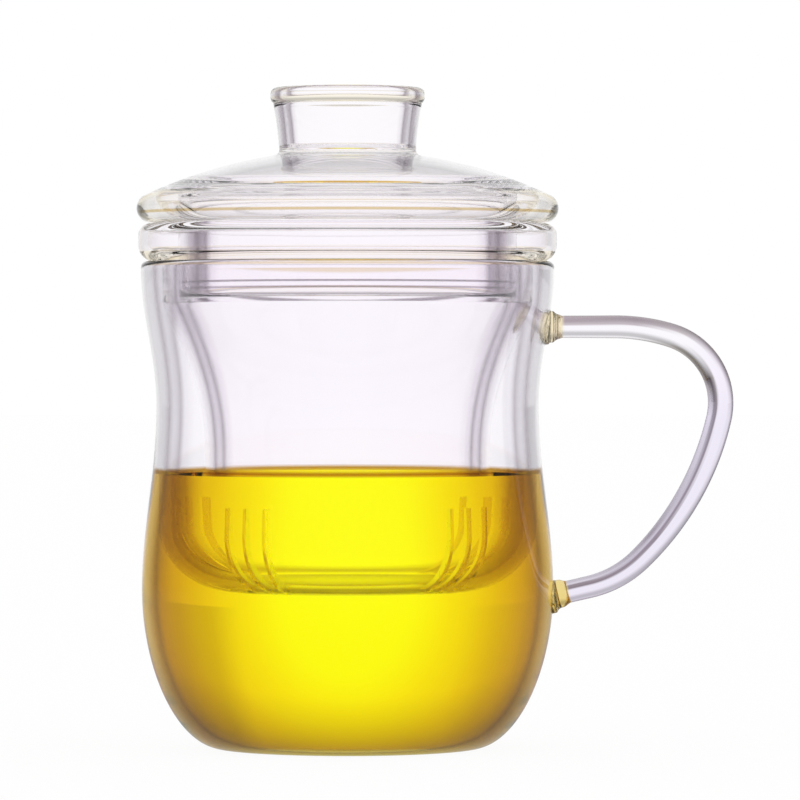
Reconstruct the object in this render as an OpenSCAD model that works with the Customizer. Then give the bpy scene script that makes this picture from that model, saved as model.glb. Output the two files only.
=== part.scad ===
// Glass tea mug with a hanging infuser and a lift-off lid.
// Millimetres. The origin is on the mug's axis, on the table. The handle points along +X.

/* [Mug] */
// Height of the mug's rim above the table
mug_h = 100.3; // [94:0.1:108]
// Outer radius of the rim
rim_r = 42.6; // [38:0.1:50]
// How far the waist is drawn in from the rim
waist_in = 3.2; // [0:0.1:5]
// Height of the waist
waist_z = 70.5; // [64:0.5:78]
// Outer radius of the belly
belly_r = 42.4; // [40:0.1:50]
// Height of the belly's widest ring
belly_z = 32.5; // [26:0.5:44]
// Radius of the flat foot
foot_r = 26.2; // [18:0.5:32]
// How full the curve from foot to belly is, where 2 is an ellipse
base_fullness = 1.9; // [1.7:0.1:2.6]
// Wall thickness of the mug
mug_wall = 2.5; // [1.8:0.1:3]
// Thickness of the mug's floor
floor_t = 3.2; // [2.5:0.1:6]

/* [Tea] */
// Height of the tea's surface
tea_z = 57.8; // [36:0.1:68]
// Gap between the tea and the infuser's glass
tea_gap = 0.3; // [0.2:0.05:0.6]

/* [Handle] */
// Radius of the handle's glass rod at its ends
rod_r = 2.45; // [2:0.05:3]
// Radius of the rod at the middle of the grip, where it is thickest
grip_rod_r = 2.75; // [2:0.05:3.4]
// Depth of the handle's upper end below the rim
handle_d = 13.3; // [10:0.1:18]
// Straight run from the mug's wall to the first bend
top_run = 14.6; // [10:0.1:20]
// Radius of the gentle arch at the top
arch_r = 39; // [32:1:46]
// Turn of the gentle arch, in degrees
arch_turn = 17.5; // [10:0.5:22]
// Radius of the tight bend at the outside
elbow_r = 14.5; // [12:0.5:17]
// Turn of the tight bend, in degrees
elbow_turn = 85.5; // [80:0.5:90]
// Radius of the long grip
grip_r = 61; // [54:1:70]
// Turn of the long grip, in degrees
grip_turn = 32.5; // [28:0.5:36]
// Radius of the lower bend
heel_r = 22; // [18:0.5:26]
// Turn of the lower bend, in degrees
heel_turn = 31.5; // [26:0.5:36]
// Radius of the upper weld where it meets the mug
upper_weld_r = 3.9; // [3.4:0.1:5]
// Length of the upper weld along the rod
upper_weld_l = 2.9; // [2:0.1:5]
// Radius of the lower weld where it meets the mug
lower_weld_r = 3.5; // [3.2:0.1:5]
// Length of the lower weld along the rod
lower_weld_l = 3.2; // [2:0.1:5]

/* [Infuser] */
// Outer radius of the straight basket
basket_r = 29.3; // [26:0.1:32]
// Gap round the infuser's neck in the mug's mouth
neck_gap = 1.9; // [0.5:0.1:3]
// Wall thickness of the infuser
infuser_wall = 1.9; // [1.4:0.1:2.1]
// Depth of the basket's underside below the collar
infuser_d = 68.7; // [64:0.1:74]
// Depth of the neck's lower end below the collar
neck_d = 8.2; // [6:0.1:14]
// Depth below the collar at which the shoulder becomes the straight basket
shoulder_d = 40.2; // [34:0.1:48]
// How early the shoulder narrows, where 1 is even
shoulder_ease = 0.62; // [0.5:0.02:1]
// Outer radius of the basket's lower corner
corner_r = 12; // [8:0.5:16]

/* [Collar] */
// How far the hollow collar stands out past the mug's rim
collar_out = 0.5; // [0:0.1:2]
// Height of the collar
collar_h = 7.9; // [7:0.1:10]
// Radius of the collar's lower edge, which rests on the rim
collar_low_r = 3.4; // [3:0.1:4]
// Radius of the collar's upper edge
collar_top_r = 2.3; // [2.2:0.1:3]
// Radius of the hollow where the neck meets the collar
throat_r = 1.2; // [0.8:0.1:1.4]
// How far the collar's lip stands back from the inside of the neck
lip_back = 0.9; // [0.2:0.1:1.5]
// Gap left between seats that rest on each other
seat_gap = 0.15; // [0.1:0.05:0.3]

/* [Slits] */
// Number of groups of slits round the basket
slit_groups = 4; // [2:1:6]
// Slits in a group
group_slits = 3; // [1:1:5]
// Angle from slit to slit in a group
slit_step = 8.5; // [6:0.5:12]
// Angle of the first group from the handle
first_group = 50; // [0:5:85]
// Width of a slit
slit_w = 1; // [0.9:0.1:1.6]
// Height of the slits' upper ends above the basket's underside
slit_h = 18.5; // [14:0.5:24]
// Radius at which the slits stop under the basket
slit_in_r = 19; // [14:0.5:22]

/* [Lid] */
// How far the lid stands out past the collar
lid_out = 0.4; // [0:0.1:2]
// Radius of the rolled bead at the lid's edge
bead_r = 3; // [2.6:0.1:3.4]
// Radius of curvature of the dome
dome_r = 98; // [80:1:140]
// Wall thickness of the dome
dome_wall = 2.3; // [1.8:0.1:3]
// Gap round the skirt inside the infuser's neck
skirt_gap = 1.4; // [0.5:0.1:3]
// Wall thickness of the skirt
skirt_wall = 2; // [1.5:0.1:2.5]
// Depth of the skirt below the lid's seat
skirt_d = 15.1; // [10:0.1:22]

/* [Knob] */
// Outer radius of the knob at its foot
knob_foot_r = 14.1; // [11:0.1:17]
// Outer radius of the knob below its rim
knob_neck_r = 15.3; // [12:0.1:18]
// How far the knob's rolled rim stands out past its wall
knob_lip = 0.6; // [0.3:0.1:1]
// Height of the knob's rolled rim
knob_rim_h = 3.4; // [2.8:0.1:5]
// Radius of the rolled rim's edges
knob_bead_r = 1.3; // [1.1:0.1:1.4]
// Height of the knob above the top of the dome
knob_h = 12.8; // [11:0.1:20]
// Wall thickness of the knob
knob_wall = 1.7; // [1.3:0.1:2]
// Size of the weld round the knob's foot
knob_weld_r = 1.3; // [0.8:0.1:2]

/* [Hidden] */
glass = [0.90, 0.92, 0.97, 0.35];
rod_glass = [0.86, 0.86, 0.94, 0.5];
weld_glass = [0.93, 0.88, 0.70, 0.6];
tea_yellow = [0.95, 0.80, 0.05, 0.85];
past = 2 * mug_wall; // how far a cutting shape runs past what it cuts
curve_steps = 14; // points along a long curve
rod_sides = 24; // sides of the rod's rings
ring_gap = 0.9 * rod_r; // most that the rod's rings stand apart
knob_flare = 1.6; // how late the knob's wall flares, where 1 is even
knob_rim_a = -55; // angle at which the knob's wall runs into its rolled rim
weld_flare = 1.2; // how fast a weld narrows from the mug's wall
edge_steps = 6; // points along a small rounded edge
$fn = 96;

// Helpers for outlines, which are lists of [radius, height]
function arc(centre, r, from, to, steps) =
    [for (i = [0 : steps]) let (a = from + (to - from) * i / steps) centre + r * [cos(a), sin(a)]];
function ease(a, b, t) = (a + b) / 2 + (a - b) / 2 * cos(180 * t);
function reversed(path) = [for (i = [len(path) - 1 : -1 : 0]) path[i]];
function at(path, i) = path[max(0, min(len(path) - 1, i))];
// The path moved to its left, by first at its start and by last from point settle on
function to_left(path, first, last, settle) =
    [for (i = [0 : len(path) - 1])
        let (run = at(path, i + 1) - at(path, i - 1), d = first + (last - first) * min(1, i / settle))
        path[i] + d / norm(run) * [-run.y, run.x]];

// Mug
rim_z = mug_h - mug_wall / 2;
waist_r = rim_r - waist_in;
function mug_r(z) = z < waist_z
    ? ease(belly_r, waist_r, (z - belly_z) / (waist_z - belly_z))
    : ease(waist_r, rim_r, (z - waist_z) / (rim_z - waist_z));
foot_curve = [for (i = [0 : curve_steps]) let (a = 90 - 90 * i / curve_steps)
    [foot_r + (belly_r - foot_r) * pow(cos(a), 2 / base_fullness),
     belly_z * (1 - pow(sin(a), 2 / base_fullness))]];
side_z = concat([for (i = [1 : curve_steps]) belly_z + (waist_z - belly_z) * i / curve_steps],
                [for (i = [1 : curve_steps]) waist_z + (rim_z - waist_z) * i / curve_steps]);
mug_outside = concat(foot_curve, [for (z = side_z) [mug_r(z), z]]);
mug_inside = to_left(mug_outside, floor_t, mug_wall, curve_steps);
mug_rim = arc([rim_r - mug_wall / 2, rim_z], mug_wall / 2, 0, 180, 2 * edge_steps);

// Infuser: the collar's round lower edge rests on the mug's round rim
neck_r = rim_r - mug_wall - neck_gap;
neck_in_r = neck_r - infuser_wall;
collar_r = rim_r + collar_out;
collar_low_c = collar_r - collar_low_r;
rim_c = rim_r - mug_wall / 2;
collar_z = rim_z - collar_low_r
    + sqrt(pow(mug_wall / 2 + collar_low_r + seat_gap, 2) - pow(rim_c - collar_low_c, 2));
collar_top = collar_z + collar_h;
basket_z = collar_z - infuser_d;
neck_z = collar_z - neck_d;
shoulder_z = collar_z - shoulder_d;
mouth_edge = neck_in_r + lip_back + infuser_wall / 2;
infuser_outside = concat(
    arc([basket_r - corner_r, basket_z + corner_r], corner_r, -90, 0, curve_steps),
    [for (i = [0 : 2 * curve_steps]) let (t = 1 - i / (2 * curve_steps))
        [ease(neck_r, basket_r, pow(t, shoulder_ease)), neck_z + (shoulder_z - neck_z) * t]],
    arc([neck_r + throat_r, collar_z - throat_r], throat_r, 180, 90, edge_steps),
    arc([collar_low_c, collar_z + collar_low_r], collar_low_r, -90, 0, edge_steps),
    arc([collar_r - collar_top_r, collar_top - collar_top_r], collar_top_r, 0, 90, edge_steps),
    [[mouth_edge, collar_top]]);
infuser_inside = to_left(infuser_outside, infuser_wall, infuser_wall, 1);
infuser_mouth = arc([mouth_edge, collar_top - infuser_wall / 2], infuser_wall / 2, 90, 270, edge_steps);

// Lid: the bead rests on the collar, and the dome runs smoothly into the bead
skirt_r = neck_in_r - skirt_gap;
bead_c = collar_r + lid_out - bead_r;
bead_z = collar_top + seat_gap + bead_r;
dome_z = bead_z - sqrt(pow(dome_r - bead_r, 2) - pow(bead_c, 2));
dome_in_r = dome_r - dome_wall;
dome_top = dome_z + dome_r;
bead_d = dome_r - bead_r; // from the dome's centre of curvature to the bead's centre
bead_a = asin(bead_c / bead_d);
// Angle at the bead's centre, back to where the dome's inner face runs into the bead
bead_in_a = acos((pow(bead_d, 2) + pow(bead_r, 2) - pow(dome_in_r, 2)) / (2 * bead_d * bead_r));
bead_end = [bead_c, bead_z] + bead_r * [cos(-90 - bead_a - bead_in_a), sin(-90 - bead_a - bead_in_a)];
dome_end_a = atan2(bead_end.y - dome_z, bead_end.x);
dome_outside = arc([0, dome_z], dome_r, 90, 90 - bead_a, 2 * curve_steps);
dome_inside = arc([0, dome_z], dome_in_r, dome_end_a, 90, 2 * curve_steps);
bead = arc([bead_c, bead_z], bead_r, 90 - bead_a, -90 - bead_a - bead_in_a, 4 * edge_steps);
skirt_z = collar_top + seat_gap - skirt_d;

// Knob
knob_top = dome_top + knob_h;
knob_neck_z = knob_top - knob_rim_h;
knob_foot_z = dome_z + sqrt(pow(dome_r, 2) - pow(knob_foot_r, 2));
function knob_side(z) = knob_foot_r + (knob_neck_r - knob_foot_r)
    * pow(max(0, (z - knob_foot_z) / (knob_neck_z - knob_foot_z)), knob_flare);
knob_low_z = knob_foot_z - dome_wall;
knob_outside = concat([[knob_foot_r, knob_low_z]],
    [for (i = [0 : curve_steps]) let (z = knob_foot_z + (knob_neck_z - knob_foot_z) * i / curve_steps)
        [knob_side(z), z]]);
knob_bead_c = knob_neck_r + knob_lip - knob_bead_r;
knob_rim = concat(
    arc([knob_bead_c, knob_neck_z + knob_bead_r], knob_bead_r, knob_rim_a, 0, edge_steps),
    arc([knob_bead_c, knob_top - knob_bead_r], knob_bead_r, 0, 180, 2 * edge_steps),
    arc([knob_bead_c, knob_neck_z + knob_bead_r], knob_bead_r, 180, 180 - knob_rim_a, edge_steps));

// Handle: bends as [radius, turn], each turning down and back to the mug
handle_z = mug_h - handle_d;
bends = [[arch_r, arch_turn], [elbow_r, elbow_turn], [grip_r, grip_turn], [heel_r, heel_turn]];
function heading(k) = k == 0 ? 0 : heading(k - 1) - bends[k - 1][1];
function right_of(a) = [sin(a), -cos(a)];
function bend_start(k) = k == 0
    ? [mug_r(handle_z) + top_run, handle_z]
    : bend_centre(k - 1) - bends[k - 1][0] * right_of(heading(k));
function bend_centre(k) = bend_start(k) + bends[k][0] * right_of(heading(k));
low_start = bend_start(len(bends));
low_way = [cos(heading(len(bends))), sin(heading(len(bends)))];
// Distance along the low run to the mug's wall, found in a few steps
function to_wall(s, steps) = steps == 0 ? s
    : let (p = low_start + s * low_way) to_wall(s + (mug_r(max(p.y, belly_z)) - p.x) / low_way.x, steps - 1);
low_run = to_wall(0, 5);
// The rod's centreline from weld to weld, as [x, z, heading]
rod_start = [mug_r(handle_z) + upper_weld_l, handle_z, 0];
rod_end = concat(low_start + (low_run - lower_weld_l) * low_way, [heading(len(bends))]);
function bend_rings(k) = ceil(bends[k][0] * bends[k][1] * PI / 180 / ring_gap);
function bend_point(k, a) = concat(bend_centre(k) - bends[k][0] * right_of(a), [a]);
rod_path = concat([rod_start, concat(bend_start(0), [0])],
    [for (k = [0 : len(bends) - 1], i = [1 : bend_rings(k)])
        bend_point(k, heading(k) - bends[k][1] * i / bend_rings(k))],
    [rod_end]);
// Lengths along the centreline up to each of its points
function run_to(path, i) = i == 0 ? 0
    : run_to(path, i - 1) + norm([path[i].x - path[i - 1].x, path[i].y - path[i - 1].y]);
rod_length = run_to(rod_path, len(rod_path) - 1);

module turned(outline) {
    rotate_extrude() polygon(outline);
}

module mug_solid() {
    turned(concat([[0, 0]], mug_outside, [[rim_r, mug_h], [0, mug_h]]));
}

module mug_hollow() {
    turned(concat([[0, floor_t]], mug_inside, [[rim_r - mug_wall, mug_h], [0, mug_h]]));
}

module mug_body() {
    color(glass)
        turned(concat([[0, 0]], mug_outside, mug_rim, reversed(mug_inside), [[0, floor_t]]));
}

// Everything inside a plate of width w, standing in a radial plane, where a slit is
module slit_plate(w, low_z, high_z, in_r, out_r) {
    translate([in_r, -w / 2, low_z]) cube([out_r - in_r, w, high_z - low_z - w / 2]);
    translate([in_r, 0, high_z - w / 2]) rotate([0, 90, 0]) cylinder(r = w / 2, h = out_r - in_r);
}

module at_each_slit() {
    for (g = [0 : slit_groups - 1], s = [0 : group_slits - 1])
        rotate([0, 0, first_group + g * 360 / slit_groups + (s - (group_slits - 1) / 2) * slit_step])
            children();
}

module infuser() {
    color(glass)
        difference() {
            turned(concat([[0, basket_z]], infuser_outside, infuser_mouth, reversed(infuser_inside),
                          [[0, basket_z + infuser_wall]]));
            at_each_slit()
                slit_plate(slit_w, basket_z - past, basket_z + slit_h, slit_in_r, basket_r + past);
        }
}

// The basket's outer shape and its hollow, up to the collar, each moved outwards by grow
module basket_shape(path, low_z, grow) {
    moved = [for (p = to_left(path, -grow, -grow, 1)) if (p.y < collar_z - throat_r) p];
    turned(concat([[0, low_z - grow]], moved, [[moved[len(moved) - 1].x, collar_z], [0, collar_z]]));
}

// The tea fills the mug round the infuser, the basket, and the slits between the two
module tea() {
    color(tea_yellow)
        intersection() {
            mug_hollow();
            cylinder(r = belly_r + past, h = tea_z);
            union() {
                difference() {
                    cylinder(r = belly_r + past, h = tea_z + past);
                    basket_shape(infuser_outside, basket_z, tea_gap);
                }
                basket_shape(infuser_inside, basket_z + infuser_wall, -tea_gap);
                at_each_slit()
                    slit_plate(slit_w - 2 * tea_gap, basket_z - past / 2, basket_z + slit_h - tea_gap,
                               slit_in_r + tea_gap, basket_r + past / 2);
            }
        }
}

// Places its children at point p of the handle's plane, with their Z along direction a
module along(p, a) {
    translate([p.x, 0, p.y]) rotate([0, 90 - a, 0]) children();
}

// One round solid swept through rings on the rod's centreline, a little thicker at the grip
module handle_rod() {
    rings = [for (i = [0 : len(rod_path) - 1])
        let (p = rod_path[i], swell = pow(sin(180 * run_to(rod_path, i) / rod_length), 2),
             r = rod_r + (grip_rod_r - rod_r) * swell)
            for (j = [0 : rod_sides - 1]) let (a = 360 * j / rod_sides)
                [p.x - r * cos(a) * sin(p.z), r * sin(a), p.y + r * cos(a) * cos(p.z)]];
    last = (len(rod_path) - 1) * rod_sides;
    sides = [for (i = [0 : len(rod_path) - 2], j = [0 : rod_sides - 1])
        let (a = i * rod_sides + j, b = i * rod_sides + (j + 1) % rod_sides)
            each [[a, b, b + rod_sides], [a, b + rod_sides, a + rod_sides]]];
    color(rod_glass)
        polyhedron(rings, concat([[for (j = [rod_sides - 1 : -1 : 0]) j]], sides,
                                 [[for (j = [0 : rod_sides - 1]) last + j]]));
}

// Glass from radius r at the mug's wall down to the rod's flat end, with soft ripples round it
module weld(r, length, ripples, ripple_depth) {
    side = [for (i = [0 : 3 * edge_steps])
        let (t = i / (3 * edge_steps), wave = 1 - ripple_depth * sin(180 * ripples * t))
            [rod_r + (r - rod_r) * pow(1 - t, weld_flare) * wave, length * t]];
    turned(concat([[0, -past / 2], [r, -past / 2]], side, [[0, length]]));
}

module upper_handle_weld() {
    color(weld_glass)
        difference() {
            along([mug_r(handle_z), handle_z], 0)
                weld(upper_weld_r, upper_weld_l, ripples = 4, ripple_depth = 0.18);
            mug_solid();
        }
}

module lower_handle_weld() {
    color(weld_glass)
        difference() {
            along(low_start + low_run * low_way, heading(len(bends)) + 180)
                weld(lower_weld_r, lower_weld_l, ripples = 2, ripple_depth = 0.35);
            mug_solid();
        }
}

module lid_dome() {
    color(glass) turned(concat(dome_outside, bead, dome_inside));
}

module lid_skirt() {
    edge = arc([skirt_r - skirt_wall / 2, skirt_z + skirt_wall / 2], skirt_wall / 2, -180, 0, edge_steps);
    color(glass)
        intersection() {
            turned(concat(edge, [[skirt_r, dome_top], [skirt_r - skirt_wall, dome_top]]));
            turned(concat(dome_inside, [[0, skirt_z - past], [skirt_r + past, skirt_z - past],
                                        [skirt_r + past, dome_inside[0].y]]));
        }
}

module dome_solid() {
    turned(concat(dome_outside, [[0, bead_z]]));
}

module lid_knob() {
    wall_in = reversed(to_left(knob_outside, knob_wall, knob_wall, 1));
    color(glass)
        difference() {
            turned(concat(knob_outside, knob_rim, wall_in));
            dome_solid();
        }
}

module knob_weld() {
    hollow = arc([knob_foot_r + knob_weld_r, knob_foot_z + knob_weld_r], knob_weld_r, -90, -180, edge_steps);
    color(weld_glass)
        difference() {
            turned(concat([[0, knob_low_z], [knob_foot_r + knob_weld_r, knob_low_z]], hollow,
                          [[0, knob_foot_z + knob_weld_r]]));
            turned(concat([[0, knob_low_z - past]], [[knob_foot_r, knob_low_z - past]], knob_outside,
                          [[0, knob_neck_z]]));
            dome_solid();
        }
}

mug_body();
handle_rod();
upper_handle_weld();
lower_handle_weld();
tea();
infuser();
lid_dome();
lid_skirt();
lid_knob();
knob_weld();
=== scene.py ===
import math
import bmesh
import bpy
from mathutils import Matrix, Vector


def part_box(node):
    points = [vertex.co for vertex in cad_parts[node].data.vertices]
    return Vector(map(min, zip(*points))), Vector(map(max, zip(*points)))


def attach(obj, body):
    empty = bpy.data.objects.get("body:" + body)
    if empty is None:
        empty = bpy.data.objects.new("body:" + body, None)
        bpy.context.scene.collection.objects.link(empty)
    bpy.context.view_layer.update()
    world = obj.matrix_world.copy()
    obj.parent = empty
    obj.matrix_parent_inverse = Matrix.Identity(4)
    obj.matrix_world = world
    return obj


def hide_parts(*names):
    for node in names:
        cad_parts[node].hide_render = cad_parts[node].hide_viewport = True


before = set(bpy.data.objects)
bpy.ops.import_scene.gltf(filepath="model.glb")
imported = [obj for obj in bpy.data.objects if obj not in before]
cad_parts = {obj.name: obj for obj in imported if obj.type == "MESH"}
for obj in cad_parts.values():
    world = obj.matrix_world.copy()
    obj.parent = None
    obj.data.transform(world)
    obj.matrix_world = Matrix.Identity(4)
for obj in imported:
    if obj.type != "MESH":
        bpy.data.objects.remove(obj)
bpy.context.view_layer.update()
scene = bpy.context.scene
mm = 0.001
fullTurn = 2 * math.pi
tiny = 0.01 * mm  # a shorter length counts as none
sameSpot = 0.002 * mm  # points nearer to each other than this are merged


def boxOf(node):
    # lowest and highest corner of a node, in millimetres
    low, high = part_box(node)
    return low / mm, high / mm


def arc(centre, radius, start, end, steps):
    # points along an arc, by angles in degrees
    points = []
    for i in range(steps + 1):
        turn = math.radians(start + (end - start) * i / steps)
        points.append((centre[0] + radius * math.cos(turn), centre[1] + radius * math.sin(turn)))
    return points


def ease(a, b, t):
    return (a + b) / 2 + (a - b) / 2 * math.cos(math.pi * t)


def beside(path, first, last, settle):
    # the path moved to its left, by first at its start and by last from point settle on
    moved = []
    for i, (r, z) in enumerate(path):
        before = path[max(0, i - 1)]
        after = path[min(len(path) - 1, i + 1)]
        run = Vector((after[0] - before[0], after[1] - before[1])).normalized()
        gap = first + (last - first) * min(1, i / settle)
        moved.append((r - gap * run.y, z + gap * run.x))
    return moved


def turned(outline, steps):
    # spins an outline round the Z axis into a closed mesh
    bm = bmesh.new()
    ring = [bm.verts.new((r * mm, 0, z * mm)) for r, z in outline]
    edges = [bm.edges.new(pair) for pair in zip(ring, ring[1:])]
    bmesh.ops.spin(bm, geom=ring + edges, cent=(0, 0, 0), axis=(0, 0, 1), angle=fullTurn,
                   steps=steps, use_merge=True)
    bmesh.ops.remove_doubles(bm, verts=bm.verts, dist=sameSpot)
    bmesh.ops.recalc_face_normals(bm, faces=bm.faces)
    return bm


def leanOf(face):
    # how far a face looks away from the axis, and round it
    out = Vector((face.center.x, face.center.y, 0))
    out = out.normalized() if out.length > tiny else Vector((0, 0, 0))
    return face.normal.dot(out), face.normal.dot(Vector((-out.y, out.x, 0)))


def piece(name, bm, material, body, replaced):
    for face in bm.faces:
        face.smooth = True
    mesh = bpy.data.meshes.new(name)
    bm.to_mesh(mesh)
    bm.free()
    mesh.materials.append(material)
    obj = bpy.data.objects.new(name, mesh)
    scene.collection.objects.link(obj)
    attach(obj, body)
    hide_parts(*replaced)
    return obj


glass = {
    "gloss": (0.3, 0.3, 0.3),  # share of a plain glass's straight-on reflection that is kept
    "rippleDetail": 1.5, "rippleRoughness": 0.35,
    # heights of the ripple between which the surface turns from clear to smeared
    "smearFrom": 0.35, "smearTo": 0.75,
}


def link(tree, out, into):
    tree.links.new(out, into)


def rippleGroup():
    # soft waves of blown glass, as a height from 0 to 1
    group = bpy.data.node_groups.new("glassRipple", "ShaderNodeTree")
    side = group.interface
    side.new_socket("Vector", in_out="INPUT", socket_type="NodeSocketVector")
    side.new_socket("Waves", in_out="INPUT", socket_type="NodeSocketFloat")
    side.new_socket("Draw", in_out="INPUT", socket_type="NodeSocketFloat")
    side.new_socket("Height", in_out="OUTPUT", socket_type="NodeSocketFloat")
    nodes = group.nodes
    start, end = nodes.new("NodeGroupInput"), nodes.new("NodeGroupOutput")
    stretch = nodes.new("ShaderNodeCombineXYZ")
    stretch.inputs["X"].default_value = 1
    stretch.inputs["Y"].default_value = 1
    scaled = nodes.new("ShaderNodeVectorMath")
    scaled.operation = "MULTIPLY"
    waves = nodes.new("ShaderNodeTexNoise")
    waves.inputs["Detail"].default_value = glass["rippleDetail"]
    waves.inputs["Roughness"].default_value = glass["rippleRoughness"]
    link(group, start.outputs["Draw"], stretch.inputs["Z"])
    link(group, start.outputs["Vector"], scaled.inputs[0])
    link(group, stretch.outputs[0], scaled.inputs[1])
    link(group, scaled.outputs[0], waves.inputs["Vector"])
    link(group, start.outputs["Waves"], waves.inputs["Scale"])
    link(group, waves.outputs["Fac"], end.inputs["Height"])
    return group


def feed(tree, value, socket):
    # a socket, a colour or a number goes into a socket
    if isinstance(value, bpy.types.NodeSocket):
        link(tree, value, socket)
    elif isinstance(value, tuple):
        socket.default_value = (*value, 1)
    else:
        socket.default_value = value


def calc(tree, kind, a, b=0.0, clamp=False):
    node = tree.nodes.new("ShaderNodeMath")
    node.operation = kind
    node.use_clamp = clamp
    feed(tree, a, node.inputs[0])
    feed(tree, b, node.inputs[1])
    return node.outputs[0]


def distance(tree, x, y):
    squares = [calc(tree, "MULTIPLY", side, side) for side in (x, y)]
    return calc(tree, "SQRT", calc(tree, "ADD", *squares))


def ringGroup():
    # 1 between two heights and outside a radius, 0 elsewhere, with soft ends
    group = bpy.data.node_groups.new("glassRing", "ShaderNodeTree")
    side = group.interface
    side.new_socket("Vector", in_out="INPUT", socket_type="NodeSocketVector")
    for name in ("Low", "High", "Radius", "Soft"):
        side.new_socket(name, in_out="INPUT", socket_type="NodeSocketFloat")
    side.new_socket("Mask", in_out="OUTPUT", socket_type="NodeSocketFloat")
    start, end = group.nodes.new("NodeGroupInput"), group.nodes.new("NodeGroupOutput")
    given = start.outputs
    split = group.nodes.new("ShaderNodeSeparateXYZ")
    link(group, given["Vector"], split.inputs[0])
    x, y, z = split.outputs
    across = distance(group, x, y)
    rise = calc(group, "DIVIDE", calc(group, "SUBTRACT", z, given["Low"]), given["Soft"], clamp=True)
    fall = calc(group, "DIVIDE", calc(group, "SUBTRACT", given["High"], z), given["Soft"], clamp=True)
    out = calc(group, "DIVIDE", calc(group, "SUBTRACT", across, given["Radius"]), given["Soft"], clamp=True)
    link(group, calc(group, "MULTIPLY", calc(group, "MULTIPLY", rise, fall), out), end.inputs["Mask"])
    return group


glassRipple = rippleGroup()
glassRing = ringGroup()


def ramp(nodes, stops):
    node = nodes.new("ShaderNodeValToRGB")
    node.color_ramp.elements[0].position = stops[0][0]
    node.color_ramp.elements[0].color = (*stops[0][1], 1)
    node.color_ramp.elements[1].position = stops[-1][0]
    node.color_ramp.elements[1].color = (*stops[-1][1], 1)
    for place, colour in stops[1:-1]:
        element = node.color_ramp.elements.new(place)
        element.color = (*colour, 1)
    return node


def mixColour(tree, factor, a, b, kind="MIX"):
    node = tree.nodes.new("ShaderNodeMix")
    node.data_type = "RGBA"
    node.blend_type = kind
    for value, socket in ((factor, node.inputs["Factor"]), (a, node.inputs[6]), (b, node.inputs[7])):
        feed(tree, value, socket)
    return node.outputs[2]


def byTurn(tree, stops):
    # colour, with painted shade, by how far a face is turned away from the eye
    facing = tree.nodes.new("ShaderNodeLayerWeight")
    facing.inputs["Blend"].default_value = 0.5
    shades = ramp(tree.nodes, stops)
    link(tree, facing.outputs["Facing"], shades.inputs["Fac"])
    return shades.outputs["Color"]


def ringMask(tree, place, ring):
    mask = tree.nodes.new("ShaderNodeGroup")
    mask.node_tree = glassRing
    for name in ("Low", "High", "Radius", "Soft"):
        mask.inputs[name].default_value = ring[name.lower()] * mm
    link(tree, place, mask.inputs["Vector"])
    return mask.outputs["Mask"]


def drawnStreaks(tree, profiles):
    # painted shade from a rod's outer side to its inner side, which changes along its length
    across, along = tree.nodes.new("ShaderNodeAttribute"), tree.nodes.new("ShaderNodeAttribute")
    across.attribute_name, along.attribute_name = "inward", "along"
    before, drawn = None, None
    for share, stops in profiles:
        here = ramp(tree.nodes, stops)
        link(tree, across.outputs["Fac"], here.inputs["Fac"])
        if drawn is None:
            drawn = here.outputs["Color"]
        else:
            turn = tree.nodes.new("ShaderNodeMapRange")
            turn.inputs["From Min"].default_value = before
            turn.inputs["From Max"].default_value = share
            link(tree, along.outputs["Fac"], turn.inputs["Value"])
            drawn = mixColour(tree, turn.outputs["Result"], drawn, here.outputs["Color"])
        before = share
    return drawn


def glassMaterial(look):
    material = bpy.data.materials.new(look["name"])
    material.use_nodes = True
    tree = material.node_tree
    nodes = tree.nodes
    shader = nodes["Principled BSDF"]
    shader.inputs["Transmission Weight"].default_value = 1
    shader.inputs["IOR"].default_value = look["ior"]
    shader.inputs["Specular Tint"].default_value = (*glass["gloss"], 1)
    coords = nodes.new("ShaderNodeTexCoord")
    ripple = nodes.new("ShaderNodeGroup")
    ripple.node_tree = glassRipple
    ripple.inputs["Waves"].default_value = look["waves"]
    ripple.inputs["Draw"].default_value = look["draw"]
    bump = nodes.new("ShaderNodeBump")
    bump.inputs["Strength"].default_value = 1
    bump.inputs["Distance"].default_value = look["waveDepth"] * mm
    link(tree, coords.outputs["Object"], ripple.inputs["Vector"])
    link(tree, ripple.outputs["Height"], bump.inputs["Height"])
    link(tree, bump.outputs["Normal"], shader.inputs["Normal"])
    # where a wall shows a line along its edge, a dark stop of this ramp paints it as shade
    colour = byTurn(tree, look["edge"])
    # rings paint bands of tinted light and shade at given heights
    for ring in look.get("rings", ()):
        tinted = mixColour(tree, 1.0, colour, ring["tint"], "MULTIPLY")
        colour = mixColour(tree, ringMask(tree, coords.outputs["Object"], ring), colour, tinted)
    # painted shade lines along a rod
    if "drawn" in look:
        colour = mixColour(tree, 1.0, colour, drawnStreaks(tree, look["drawn"]), "MULTIPLY")
    link(tree, colour, shader.inputs["Base Color"])
    smear = nodes.new("ShaderNodeMapRange")
    smear.inputs["From Min"].default_value = glass["smearFrom"]
    smear.inputs["From Max"].default_value = glass["smearTo"]
    smear.inputs["To Min"].default_value = 0
    smear.inputs["To Max"].default_value = look["smear"]
    link(tree, ripple.outputs["Height"], smear.inputs["Value"])
    link(tree, smear.outputs["Result"], shader.inputs["Roughness"])
    return material


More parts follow.
